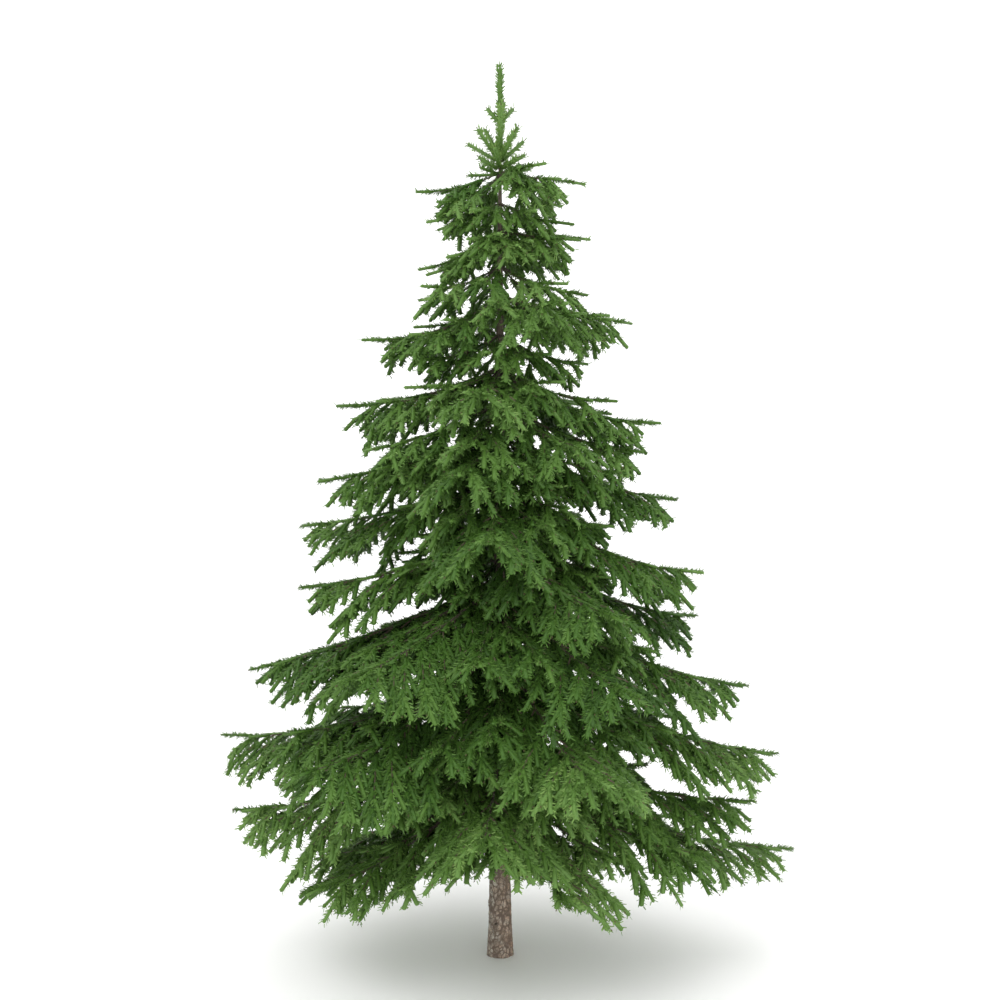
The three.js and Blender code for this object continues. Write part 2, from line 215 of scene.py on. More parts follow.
def tube_faces(rings: int, sides: int) -> np.ndarray:
    """Numbers the triangles of a tube whose rings follow each other.

    Args:
        rings: How many rings the tube has.
        sides: How many vertices each ring has.

    Returns:
        One row of three vertex numbers for each triangle.
    """
    ring, side = np.meshgrid(np.arange(rings - 1), np.arange(sides), indexing="ij")
    here = ring * sides + side
    beside = ring * sides + (side + 1) % sides
    lower = np.stack((here, beside, beside + sides), axis=-1).reshape(-1, 3)
    upper = np.stack((here, beside + sides, here + sides), axis=-1).reshape(-1, 3)
    return np.concatenate((lower, upper))


def repeat_faces(one: np.ndarray, vertices: int, count: int) -> np.ndarray:
    """Numbers the triangles of a count of forms alike, each with as many vertices."""
    return (one + vertices * np.arange(count)[:, None, None]).reshape(-1, 3)


def add_node(
    material: bpy.types.Material,
    kind: str,
    settings: dict[str, Any] | None = None,
    inputs: dict[str | int, Any] | None = None,
    stops: Sequence[tuple[float, str]] = (),
) -> bpy.types.Node:
    """Adds a shader node with its settings, values and links.

    Args:
        material: The material whose tree takes the node.
        kind: The node's type name, without the leading "ShaderNode".
        settings: Properties of the node.
        inputs: A value, or an output socket to link, for each named or numbered input.
        stops: Places and sRGB colours of a colour ramp, if the node is one.

    Returns:
        The new node.
    """
    tree = material.node_tree
    node = tree.nodes.new("ShaderNode" + kind)
    for name, value in (settings or {}).items():
        setattr(node, name, value)
    for name, value in (inputs or {}).items():
        if isinstance(value, bpy.types.NodeSocket):
            tree.links.new(value, node.inputs[name])
        else:
            node.inputs[name].default_value = value
    for index, (place, colour) in enumerate(stops):
        elements = node.color_ramp.elements
        stop = elements[index] if index < 2 else elements.new(place)
        stop.position = place
        stop.color = linear(colour)
    return node


def new_material(name: str, values: dict[str, Any]) -> tuple[bpy.types.Material, bpy.types.Node]:
    """Makes a material.

    Args:
        name: The material's name.
        values: Numbers and colours of the surface shader's own sockets.

    Returns:
        The material and its surface shader.
    """
    material = bpy.data.materials.new(name)
    material.use_nodes = True
    surface = material.node_tree.nodes["Principled BSDF"]
    for socket, value in values.items():
        surface.inputs[socket].default_value = value
    return material, surface


def new_mesh(
    name: str,
    vertices: np.ndarray,
    faces: np.ndarray,
    materials: Sequence[bpy.types.Material],
    slots: np.ndarray | None = None,
    smooth: bool = False,
) -> bpy.types.Object:
    """Makes an object from arrays.

    Args:
        name: The name of the object and its mesh.
        vertices: One row of x, y and z for each vertex.
        faces: One row of vertex numbers for each face, all with as many corners.
        materials: The materials of the mesh.
        slots: The number of each face's material, or None for the first.
        smooth: Whether the faces are shaded smooth.

    Returns:
        The object, linked to the scene.
    """
    mesh = bpy.data.meshes.new(name)
    count, corners = faces.shape
    mesh.vertices.add(len(vertices))
    mesh.vertices.foreach_set("co", vertices.astype(np.float32).ravel())
    mesh.loops.add(count * corners)
    mesh.loops.foreach_set("vertex_index", faces.astype(np.int32).ravel())
    mesh.polygons.add(count)
    mesh.polygons.foreach_set("loop_start", np.arange(0, count * corners, corners, dtype=np.int32))
    for material in materials:
        mesh.materials.append(material)
    if slots is not None:
        mesh.polygons.foreach_set("material_index", slots.astype(np.int32))
    mesh.polygons.foreach_set("use_smooth", np.full(count, smooth))
    mesh.update(calc_edges=True)
    piece = bpy.data.objects.new(name, mesh)
    bpy.context.scene.collection.objects.link(piece)
    return piece


def settle(piece: bpy.types.Object, nodes: Sequence[str]) -> None:
    """Ties a piece to the tree's body and the nodes it stands for.

    Args:
        piece: The finished object.
        nodes: Names of the nodes that the piece replaces.
    """
    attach(piece, BODY)
    if nodes:
        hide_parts(*nodes)
    triangles = sum(len(face.vertices) - 2 for face in piece.data.polygons)
    LOG.info("%s: %d triangles, stands for %d nodes", piece.name, triangles, len(nodes))


class BoughSet(Enum):
    """Headings of a whorl's boughs, in degrees from the right side towards the back."""

    LOWEST = (("right", 2), ("back", 76), ("back_left", 150), ("front_left", 206), ("front_right", 285))
    BACK_PAIR = (("right", -8), ("back_right", 54), ("back_left", 124), ("left", 188), ("front", 266))
    LEFT_PAIR = (("right", -4), ("back", 84), ("left", 174), ("front_left", 228), ("front_right", 292))
    RIGHT_PAIR = (("right", -6), ("back", 98), ("left", 186), ("front_left", 241), ("front_right", 304))
    LEFT_FOUR = (("right", 9), ("back", 118), ("left", 189), ("front", 298))
    MIDDLE_FOUR = (("right", 9), ("back", 112), ("left", 189), ("front", 258))
    RIGHT_FOUR = (("right", -9), ("back", 62), ("left", 171), ("front", 264))


@dataclass(frozen=True)
class Whorl:
    """One level of boughs.

    They leave the trunk at the height "node". Those of the sides end at the height "tip", "reach"
    from the trunk's axis; front and back ones have the share "depth" of that reach. "tilt" lifts
    the left tip and lowers the right one, and "lean" is the share by which the right side reaches
    further than the middle. "bends" say how far the left and the right boughs dip before their tips.
    "fill" is the share of the reach that lesser boughs have on the left and on the right, "sink"
    their further fall there as a share of their own reach, and "between" the share of the reach
    that the boughs halfway to the next whorl have; these three are the scene's own, and the rest
    is as in the frame's source.
    """

    node: float
    tip: float
    reach: float
    tilt: float
    depth: float
    boughs: BoughSet
    bends: tuple[float, float]
    fill: tuple[float, float] = (0.5, 0.5)
    between: float = 0.36
    lean: float = 0.0
    sink: tuple[float, float] = (0.0, 0.0)


WHORLS = (
    Whorl(
        0.640, 0.320, 0.865, -0.020, 0.78, BoughSet.LOWEST, (0.95, 0.92), (0.85, 0.75),
        lean=0.155, sink=(0.08, 0.03),
    ),
    Whorl(0.725, 0.530, 0.866, -0.012, 0.92, BoughSet.BACK_PAIR, (1.00, 1.05), (0.50, 0.62), lean=-0.02),
    Whorl(
        1.060, 0.699, 0.950, 0.022, 0.92, BoughSet.LEFT_PAIR, (1.10, 0.90), (0.80, 0.65),
        lean=-0.016, sink=(0.05, 0.06),
    ),
    Whorl(
        1.265, 0.940, 0.832, 0.031, 0.92, BoughSet.RIGHT_PAIR, (0.68, 0.90), (0.75, 0.62),
        sink=(0.08, 0.03),
    ),
    Whorl(1.420, 1.184, 0.690, 0.060, 0.92, BoughSet.LEFT_FOUR, (0.85, 0.95), lean=0.03),
    Whorl(
        1.590, 1.367, 0.700, 0.074, 0.92, BoughSet.RIGHT_FOUR, (0.78, 1.00),
        lean=-0.035, sink=(0.06, 0.00),
    ),
    Whorl(1.755, 1.565, 0.605, 0.030, 0.92, BoughSet.MIDDLE_FOUR, (0.72, 0.90), (0.70, 0.70), 0.78),
    Whorl(
        1.975, 1.823, 0.533, 0.032, 0.92, BoughSet.RIGHT_FOUR, (1.00, 1.00), (0.74, 0.74), 0.50,
        lean=-0.032, sink=(0.05, 0.00),
    ),
    Whorl(
        2.215, 2.105, 0.436, -0.045, 0.92, BoughSet.LEFT_FOUR, (1.00, 0.90), (0.78, 0.78), 0.60,
        lean=0.013, sink=(0.08, 0.08),
    ),
    Whorl(
        2.435, 2.370, 0.255, -0.047, 0.92, BoughSet.RIGHT_FOUR, (0.80, 0.80), (0.85, 0.85), 0.70,
        lean=0.06, sink=(0.15, 0.15),
    ),
    Whorl(
        2.640, 2.590, 0.250, -0.026, 0.92, BoughSet.LEFT_FOUR, (0.90, 0.80), (0.85, 0.85),
        sink=(0.25, 0.25),
    ),
)
TOP_LEVEL = len(WHORLS) - 1
HEADING_SPREAD = 6.0
SWEEP_SHARE = 0.05
FRONT_DROP = 0.81
LIMBED_WHORLS = 2
LIMB_END = 0.26


@dataclass(frozen=True)
class Bough:
    """One bough: a curve that leaves the trunk downward and flattens towards its tip.

    "level" and "order" are the numbers of its whorl and of its place there, "heading" is its direction
    in degrees and "reach" the distance of its tip from the trunk's axis. A "limbed" bough starts with
    a bare limb, and a "lesser" one stands beside a main bough or between two whorls.
    """

    name: str
    level: int
    order: int
    heading: float
    reach: float
    limbed: bool
    lesser: bool
    curve: Curve

    def points(self, shares: np.ndarray) -> np.ndarray:
        """Gives the points at shares of the bough, one row each."""
        return points_along(self.curve, shares[:, None])


@dataclass(frozen=True)
class LesserRule:
    """Lesser boughs that stand beside each main bough and fill its mass.

    "turns" are their headings from the main bough's, in degrees, "lifts" their heights over its node
    and "shares" their shares of the reach of a full one. That is the whorl's share "fill" of the main
    bough's reach on the tree's sides, and "front_reach" at the front. They are numbered in steps of
    "order_step".
    """

    turns: tuple[float, ...] = (-22.0, 23.0, 45.0)
    lifts: tuple[float, ...] = (0.012, -0.012, 0.0)
    shares: tuple[float, ...] = (1.0, 1.0, 0.8)
    turn_spread: float = 7.0
    front_reach: float = 0.70
    drop_power: float = 1.15
    order_step: int = 10


@dataclass(frozen=True)
class InnerRule:
    """Short boughs between two whorls, and just below the lowest, which close the crown.

    "reach" is that of the ring which stands "below" the lowest whorl, and "fall" the drop of all of
    them as a share of their reach.
    """

    boughs: int = 7
    below: float = 0.08
    reach: float = 0.40
    fall: float = 0.36
    turn_spread: float = 10.0
    first_order: int = 50

    def rings(self) -> list[tuple[int, float, float]]:
        """Lists the rings.

        Returns:
            The level, height and reach of each ring, from the lowest up.
        """
        rings = [(0, WHORLS[0].node - self.below, self.reach)]
        for level, (whorl, above) in enumerate(zip(WHORLS, WHORLS[1:])):
            rings.append((level, (whorl.node + above.node) / 2, whorl.between * whorl.reach))
        return rings


def make_bough(
    name: str, level: int, order: int, heading: float, size: tuple[float, float, float], sweep: float,
    lesser: bool = False,
) -> Bough:
    """Makes a bough from its sizes.

    Args:
        name: The bough's name, which its mass has too.
        level: Number of its whorl.
        order: Number of the bough in its whorl.
        heading: Its heading in degrees.
        size: Height of its node, its reach and the drop to its tip.
        sweep: Sideways bend at its tip.
        lesser: Whether it stands beside a main bough or between two whorls.

    Returns:
        The bough.
    """
    node, reach, drop = size
    outward, leftward = aim(heading, 0), aim(heading + 90, 0)
    root = node * UP
    bend = lerp(*WHORLS[level].bends, (1 + outward[0]) / 2)
    middle = root + outward * reach / 2 - bend * drop * UP
    tip = root + outward * reach + leftward * sweep - drop * UP
    limbed = level < LIMBED_WHORLS and not lesser
    return Bough(name, level, order, heading, reach, limbed, lesser, (root, middle, tip))


def list_boughs(rule: LesserRule, inner: InnerRule) -> list[Bough]:
    """Works out every bough from its whorl, by the rule of the frame's source, and the lesser ones.

    Args:
        rule: How the lesser boughs stand.
        inner: How the boughs between the whorls stand.

    Returns:
        The main and lesser boughs, from the lowest whorl to the highest, and then the inner ones.
    """
    boughs = []
    for level, whorl in enumerate(WHORLS):
        for order, (side, base) in enumerate(whorl.boughs.value):
            heading = base + spread(HEADING_SPREAD, level, order, Draw.HEADING)
            across = math.cos(math.radians(heading))
            reach = whorl.reach * lerp(whorl.depth, 1, across**2) * (1 + whorl.lean * across)
            drop = (whorl.node - whorl.tip) * lerp(FRONT_DROP, 1, across**2) + whorl.tilt * across
            sweep = reach * spread(SWEEP_SHARE, level, order, Draw.SWEEP)
            name = f"{level + 1:02d}_{side}"
            boughs.append(make_bough(name, level, order, heading, (whorl.node, reach, drop), sweep))
            for index, (turn, lift, full) in enumerate(zip(rule.turns, rule.lifts, rule.shares)):
                if level == TOP_LEVEL and lift >= 0:
                    continue
                place = rule.order_step * (index + 1) + order
                aside = heading + turn + spread(rule.turn_spread, level, place, Draw.HEADING)
                across = math.cos(math.radians(aside))
                part = full * lerp(rule.front_reach, whorl.fill[int(across > 0)], across**2)
                sink = lerp(*whorl.sink, (1 + across) / 2) * reach * part
                size = (whorl.node + lift, reach * part, drop * part**rule.drop_power + sink)
                boughs.append(make_bough(name, level, place, aside, size, 0.0, True))
    for ring, (level, node, reach) in enumerate(inner.rings()):
        for index in range(inner.boughs):
            place = inner.first_order + inner.boughs * ring + index
            heading = 360 * index / inner.boughs + spread(inner.turn_spread, level, place, Draw.HEADING)
            size = (node, reach, inner.fall * reach)
            boughs.append(make_bough("inner", level, place, heading, size, 0.0, True))
    return boughs


class Green(Enum):
    """Greens of the needles, from old sprays in the shade to the fresh tips."""

    DEEP = "#2f4d18"
    SHADED = "#3b5c1f"
    FULL = "#496a28"
    BRIGHT = "#587938"
    FRESH = "#6c8b46"


# The number of the green at the ends of boughs
TIP_GREEN = list(Green).index(Green.BRIGHT)


@dataclass(frozen=True)
class NeedleWax:
    """Living needles with their natural wax: a soft satin green that takes a faint pale sheen."""

    green: Green
    roughness: float = 0.55
    ior: float = 1.45
    gloss: float = 0.3

    def material(self) -> bpy.types.Material:
        """Makes the finish of the needles in this green."""
        return new_material("needle_wax_" + self.green.name.lower(), {
            "Base Color": linear(self.green.value), "Roughness": self.roughness,
            "IOR": self.ior, "Specular IOR Level": self.gloss,
        })[0]


class Wood(Enum):
    """Plain colours of twigs and buds."""

    TWIG = "#54473a"
    BUD_SCALE = "#4c4528"


@dataclass(frozen=True)
class TwigSkin:
    """Thin smooth bark of twigs and the papery scales of buds: dull and unbroken at this size."""

    wood: Wood
    roughness: float = 0.75

    def material(self) -> bpy.types.Material:
        """Makes the finish of twigs or buds in this colour."""
        values = {"Base Color": linear(self.wood.value), "Roughness": self.roughness}
        return new_material("twig_skin_" + self.wood.name.lower(), values)[0]


@dataclass(frozen=True)
class FirBark:
    """Fir bark that cracked into small scaly plates as the trunk grew.

    The eye sees grey-brown plates with dark furrows between them, pale grey crusts mostly on the
    left side and warmer, darker brown on the right. Young wood higher up is darker and a little green.
    The trunk's pale plates are partly painted light, against the crown's shadow on its foot.
    """

    name: str
    furrow: str = "#62544a"
    # The trunk's plate colours are partly the bark's own grey-brown and partly painted light, made paler
    # to offset the crown's shadow on the foot.
    plate: str = "#bdb0a0"
    warm_plate: str = "#bd9c83"
    pale_crust: str = "#cfcabd"
    young: str = "#544d3e"
    knot: str = "#2c241d"
    # Width of each pattern's clouds, and how many finer layers they have
    grain: tuple[float, int] = (3 * MM, 4)
    mottle: tuple[float, int] = (24 * MM, 3)
    crust: tuple[float, int] = (36 * MM, 5)
    cloud_roughness: float = 0.6
    # What the clouds take from the plates' colour
    mottle_stops: tuple[tuple[float, str], ...] = ((0.3, "#8f8f8f"), (0.7, "#ffffff"))
    grain_stops: tuple[tuple[float, str], ...] = ((0.35, "#a8a8a8"), (0.62, "#ffffff"))
    # Where crusts start and are whole, how much they cover, and what is left of them on the right
    crust_range: tuple[float, float] = (0.5, 0.62)
    crust_most: float = 0.75
    crust_right: float = 0.3
    # Heights between which the bark turns young, and how far
    young_from: float = 0.35
    young_to: float = 1.7
    young_most: float = 0.9
    side_width: float = 0.05
    furrow_range: tuple[float, float] = (0.15, 0.75)
    rough_range: tuple[float, float] = (0.3, 0.7)
    roughness: tuple[float, float] = (0.78, 0.95)
    bump_height: float = 0.7 * MM
    bump_strength: float = 0.6

    def material(self) -> bpy.types.Material:
        """Makes the bark's finish.

        Returns:
            The material, which reads the mesh's attributes "furrow" and "knot".
        """
        material, surface = new_material(self.name, {})
        place = add_node(material, "TexCoord").outputs["Object"]
        axes = add_node(material, "SeparateXYZ", inputs={0: place}).outputs
        furrow, knot = (
            add_node(material, "Attribute", {"attribute_name": name}).outputs["Fac"]
            for name in ("furrow", "knot")
        )
        grain, mottle, crust = (
            add_node(material, "TexNoise", inputs={
                "Vector": place, "Scale": 1 / size, "Detail": layers, "Roughness": self.cloud_roughness,
            }).outputs[0]
            for size, layers in (self.grain, self.mottle, self.crust)
        )
        shade, speck = (
            add_node(material, "ValToRGB", inputs={0: cloud}, stops=stops).outputs[0]
            for cloud, stops in ((mottle, self.mottle_stops), (grain, self.grain_stops))
        )
        right, crusted, aged, cracked, rough = (
            add_node(material, "MapRange", inputs=dict(zip(RANGE, values))).outputs[0]
            for values in (
                (axes["X"], -self.side_width, self.side_width, 0.0, 1.0),
                (crust, *self.crust_range, 0.0, self.crust_most),
                (axes["Z"], self.young_from, self.young_to, 0.0, self.young_most),
                (furrow, *self.furrow_range, 1.0, 0.0),
                (grain, *self.rough_range, *self.roughness),
            )
        )
        kept = add_node(
            material, "MapRange", inputs=dict(zip(RANGE, (right, 0.0, 1.0, 1.0, self.crust_right))),
        ).outputs[0]
        crusted = add_node(material, "Math", {"operation": "MULTIPLY"}, {0: crusted, 1: kept}).outputs[0]
        colour = linear(self.plate)
        # Towards the right side the bark turns warmer and darker and keeps fewer pale crusts.
        for settings, share, over in (
            (MIX, right, linear(self.warm_plate)),
            (MULTIPLY, 1.0, shade),
            (MIX, crusted, linear(self.pale_crust)),
            (MIX, aged, linear(self.young)),
            (MULTIPLY, 1.0, speck),
            (MIX, cracked, linear(self.furrow)),
            (MIX, knot, linear(self.knot)),
        ):
            inputs = {SHARE: share, UNDER: colour, OVER: over}
            colour = add_node(material, "Mix", settings, inputs).outputs[BLENDED]
        relief = add_node(material, "Bump", inputs={
            "Strength": self.bump_strength, "Distance": self.bump_height, "Height": grain,
        }).outputs[0]
        for socket, output in (("Base Color", colour), ("Roughness", rough), ("Normal", relief)):
            material.node_tree.links.new(output, surface.inputs[socket])
        return material


def store_bark(piece: bpy.types.Object, furrow: np.ndarray, knot: np.ndarray) -> None:
    """Stores on a mesh where its bark is cracked and scarred.

    Args:
        piece: The object with the bark.
        furrow: For each vertex, how far it lies out of a furrow.
        knot: For each vertex, how much of a scar it is.
    """
    for name, values in (("furrow", furrow), ("knot", knot)):
        layer = piece.data.attributes.new(name, "FLOAT", "POINT")
        layer.data.foreach_set("value", values.astype(np.float32))


@dataclass
class Trunk:
    """The trunk: a straight taper with a root flare, cracked bark and the scars of lost twigs."""

    top_diameter: float = 0.011
    taper: float = 0.0246
    flare_width: float = 0.014
    flare_fade: float = 0.108
    lobes: int = 5
    lobe_turn: float = 0.6
    lobe_depth: float = 0.0012
    lobe_fade: float = 0.07
    # Vertices of a ring, and the rings' distance at the bare foot and above it
    sides: int = 112
    foot_zone: float = 0.36
    foot_step: float = 2.6 * MM
    upper_step: float = 9 * MM
    # Sizes of the bark's plates; the depths are shares of the radius and the rest of a plate's size
    plate_width: float = 13 * MM
    plate_height: float = 22 * MM
    plate_level: float = 0.7
    warp_depth: float = 0.45
    warp_pace: float = 0.7
    furrow_width: float = 0.32
    furrow_depth: float = 0.036
    grain_pace: float = 2.6
    grain_layers: tuple[float, float, int] = (0.9, 2.0, 3)
    grain_depth: float = 0.012
    # Scars: a raised rim round a dark hollow, whose widths are shares of the scar's size
    first_scar: tuple[float, float] = (0.114, 250.0)
    scars: int = 9
    scar_heights: tuple[float, float] = (0.05, 0.60)
    scar_size: float = 7 * MM
    scar_shares: tuple[float, float] = (0.6, 1.2)
    rim_height: float = 2.6 * MM
    rim_width: float = 0.45
    hollow_depth: float = 2 * MM
    hollow_width: float = 0.5
    knot_width: float = 0.75
    knot_power: int = 4
    # The middle of the top, and how far that and the cut lie out of a furrow
    dome: float = 2 * MM
    cap_furrow: float = 0.5
    bark: FirBark = field(default_factory=lambda: FirBark("scaly_fir_trunk_bark"))

    def diameter(self, height: float) -> float:
        """Gives the trunk's diameter at a height."""
        plain = self.top_diameter + self.taper * (TRUNK_TOP - height)
        return plain + self.flare_width * math.exp(-height / self.flare_fade)

    def heights(self) -> np.ndarray:
        """Lists the heights of the rings, closer together at the bare foot."""
        foot = np.arange(0, self.foot_zone, self.foot_step)
        upper = np.arange(self.foot_zone, TRUNK_TOP, self.upper_step)
        return np.concatenate((foot, upper, (TRUNK_TOP,)))

    def scar_places(self) -> list[tuple[float, float, float]]:
        """Deals out the scars of lost twigs.

        Returns:
            The height, heading in radians and size of each scar; the first faces the front.
        """
        height, heading = self.first_scar
        places = [(height, math.radians(heading), self.scar_size)]
        for index in range(1, self.scars):
            rise, turn, size = (chance(Draw.SCAR, index, part) for part in range(3))
            height = lerp(*self.scar_heights, rise)
            places.append((height, 2 * math.pi * turn, self.scar_size * lerp(*self.scar_shares, size)))
        return places

    def relief(self, heading: float, height: float, radius: float) -> tuple[float, float]:
        """Works out the bark at one place.

        Args:
            heading: Direction from the trunk's axis, in radians.
            height: Height over the ground.
            radius: The smooth trunk's radius there.

        Returns:
            The rise of the bark over the smooth trunk, as a share of the radius, and how far the
            place lies out of a furrow, from 0 to 1.
        """
        across = radius / self.plate_width
        x, y = across * math.cos(heading), across * math.sin(heading)
        place = Vector((x, y, height / self.plate_height))
        place += self.warp_depth * noise.noise_vector(place * self.warp_pace)
        near, next_near = noise.voronoi(place)[0][:2]
        plate = min(1.0, (next_near - near) / self.furrow_width)
        plate = plate * plate * (3 - 2 * plate)
        grain = noise.fractal(place * self.grain_pace, *self.grain_layers)
        return self.furrow_depth * (plate - self.plate_level) + self.grain_depth * grain, plate

    def build(self) -> bpy.types.Object:
        """Builds the trunk's mesh with its bark."""
        # The warp of the plates takes its offsets from the seed, so the bark is the same each run
        noise.seed_set(SEED)
        heights = self.heights()
        turns = np.linspace(0, 2 * math.pi, self.sides, endpoint=False)
        radii = np.empty((len(heights), self.sides))
        furrow = np.empty_like(radii)
        for row, height in enumerate(heights):
            radius = self.diameter(height) / 2
            lobe_depth = self.lobe_depth * math.exp(-height / self.lobe_fade)
            for column, turn in enumerate(turns):
                rise, furrow[row, column] = self.relief(turn, height, radius)
                lobe = lobe_depth * math.cos(self.lobes * turn + self.lobe_turn)
                radii[row, column] = radius * (1 + rise) + lobe
        knot = np.zeros_like(radii)
        for height, heading, size in self.scar_places():
            away = (turns - heading + math.pi) % (2 * math.pi) - math.pi
            off = np.hypot(heights[:, None] - height, away[None, :] * radii) / size
            radii += self.rim_height * np.exp(-(((off - 1.0) / self.rim_width) ** 2))
            radii -= self.hollow_depth * np.exp(-((off / self.hollow_width) ** 2))
            knot = np.maximum(knot, np.exp(-((off / self.knot_width) ** self.knot_power)))
        levels = np.repeat(heights[:, None], self.sides, axis=1)
        rings = np.stack((radii * np.cos(turns), radii * np.sin(turns), levels), axis=-1).reshape(-1, 3)
        vertices = np.concatenate((rings, ((0, 0, 0), (0, 0, TRUNK_TOP + self.dome))))
        faces = np.concatenate((tube_faces(len(heights), self.sides), *self.caps(len(heights))))
        piece = new_mesh("trunk_bark", vertices, faces, [self.bark.material()], smooth=True)
        store_bark(piece, np.append(furrow, [self.cap_furrow] * 2), np.append(knot, (0.0, 0.0)))
        return piece

    def caps(self, rings: int) -> tuple[np.ndarray, np.ndarray]:
        """Numbers the triangles of the flat cut at the ground and of the top.

        Args:
            rings: How many rings the trunk has.

        Returns:
            The triangles of the cut, and those of the top.
        """
        side = np.arange(self.sides)
        beside = (side + 1) % self.sides
        foot, top = rings * self.sides, rings * self.sides + 1
        last = (rings - 1) * self.sides
        cut = np.stack((beside, side, np.full(self.sides, foot)), axis=-1)
        end = np.stack((last + side, last + beside, np.full(self.sides, top)), axis=-1)
        return cut, end


@dataclass
class BoughWood:
    """The wood of the boughs, from a collar on the trunk to the thin end in the terminal shoot."""

    limb_diameter: float = 0.024
    stem_base: float = 0.0065
    stem_share: float = 0.013
    trunk_share: float = 0.5
    lesser_share: float = 0.7
    tip_diameter: float = 0.0032
    taper_power: float = 1.9
    collar: float = 0.45
    collar_fade: float = 0.025
    sides: int = 8
    step: float = 0.02
    fewest_rings: int = 12
    wart_width: float = 9 * MM
    wart_depth: float = 0.11
    furrow_level: float = 0.75
    furrow_share: float = 0.8
    bark: FirBark = field(default_factory=lambda: FirBark(
        "smooth_fir_bough_bark", plate="#66594b", warm_plate="#6a5746", young_from=0.2, young_to=1.0,
    ))

    def diameters(self, bough: Bough, shares: np.ndarray, trunk: Trunk) -> np.ndarray:
        """Works out a bough's diameter along its length.

        Args:
            bough: The bough.
            shares: Places along it.
            trunk: The trunk that carries it.

        Returns:
            The diameters at those places.
        """
        widest = self.trunk_share * trunk.diameter(bough.curve[0][2])
        full = min(widest, self.stem_base + self.stem_share * bough.reach)
        if bough.limbed:
            full = self.limb_diameter
        if bough.lesser:
            full *= self.lesser_share
        plain = self.tip_diameter + (full - self.tip_diameter) * (1 - shares) ** self.taper_power
        return plain * (1 + self.collar * np.exp(-shares * bough.reach / self.collar_fade))

    def build(self, boughs: Sequence[Bough], trunk: Trunk) -> bpy.types.Object:
        """Builds the wood of all boughs of a trunk as one mesh."""
        turns = np.linspace(0, 2 * math.pi, self.sides, endpoint=False)
        vertices, faces, furrow, total = [], [], [], 0
        for bough in boughs:
            rings = max(self.fewest_rings, round(bough.reach / self.step))
            shares = np.linspace(0, 1, rings)
            middles = bough.points(shares)
            ahead = unit(np.gradient(middles, axis=0))
            side = unit(np.cross(UP, ahead))
            around = ring_round(turns, side, np.cross(ahead, side))
            radii = self.diameters(bough, shares, trunk)[:, None] / 2
            smooth = (middles[:, None] + around * radii[:, :, None]).reshape(-1, 3)
            warts = np.array([noise.noise(Vector(point) / self.wart_width) for point in smooth])
            warts = warts.reshape(rings, self.sides)
            points = middles[:, None] + around * (radii * (1 + self.wart_depth * warts))[:, :, None]
            vertices.append(points.reshape(-1, 3))
            faces.append(tube_faces(rings, self.sides) + total)
            furrow.append(np.clip(self.furrow_level + self.furrow_share * warts, 0, 1).ravel())
            total += rings * self.sides
        joined = np.concatenate(vertices), np.concatenate(faces)
        piece = new_mesh("bough_bark", *joined, [self.bark.material()], smooth=True)
        store_bark(piece, np.concatenate(furrow), np.zeros(total))
        return piece


@dataclass(frozen=True)
class Needling:
    """How a shoot is needled.

    "bare" is the share of its length with no needles, "density" how thickly the rest is needled,
    with one as usual, and "needle" the share of a full needle's length. "wood" is the diameter of its
    bare twig at the root, or 0 where needles or a bough hide it, and "core" that of its close inner
    needles, or 0 where the shoot is open. "comb" is the share of its needles that stand to both
    sides, and not all round.
    """

    bare: float = 0.0
    density: float = 1.0
    needle: float = 1.0
    wood: float = 0.0
    core: float = 17 * MM
    comb: float = 0.72


class ShootKind(Enum):
    """Kinds of shoots. The bare share and the density of some change along the bough."""

    AXIS = Needling(density=2.2, needle=0.9, core=0.0, comb=0.3)
    TERMINAL = Needling(density=3.0, core=11 * MM, comb=0.0)
    COVER = Needling(bare=0.05, density=1.1)
    LATERAL = Needling(wood=6 * MM)
    TWIG = Needling(bare=0.04)
    LEADER = Needling(bare=0.06, density=3.5, wood=9 * MM, comb=0.0)
    RING = Needling(bare=0.08, density=2.6, wood=4 * MM, comb=0.0)


@dataclass(frozen=True)
class Shoot:
    """One shoot: its curve, its needling and the numbers of its green and its whorl."""

    curve: Curve
    needling: Needling
    green: int
    level: int


@dataclass
class Shoots:
    """All shoots, whose values can be had as columns."""

    items: list[Shoot] = field(default_factory=list)

    def add(self, curve: Curve, needling: Needling, green: int, level: int) -> None:
        """Adds one shoot."""
        self.items.append(Shoot(curve, needling, green, level))

    def column(self, name: str) -> np.ndarray:
        """Gives one value of every shoot's needling."""
        return np.array([getattr(shoot.needling, name) for shoot in self.items])

    def greens(self) -> np.ndarray:
        """Gives the number of every shoot's green."""
        return np.array([shoot.green for shoot in self.items])

    def levels(self) -> np.ndarray:
        """Gives the number of every shoot's whorl."""
        return np.array([shoot.level for shoot in self.items])

    def curves(self, rows: np.ndarray) -> Curve:
        """Gives the curves of some shoots, which are named by their numbers or by true and false."""
        points = np.array([shoot.curve for shoot in self.items])[rows]
        return points[:, 0], points[:, 1], points[:, 2]

    def lengths(self) -> np.ndarray:
        """Gives the length of every shoot, near enough as its two straight halves."""
        roots, middles, tips = self.curves(np.arange(len(self.items)))
        return np.linalg.norm(middles - roots, axis=1) + np.linalg.norm(tips - middles, axis=1)


@dataclass(frozen=True)
class LeaderRing:
    """A ring of shoots that rise from the leader, by an angle in degrees."""

    height: float
    shoots: int
    length: float
    rise: float
    rise_spread: float


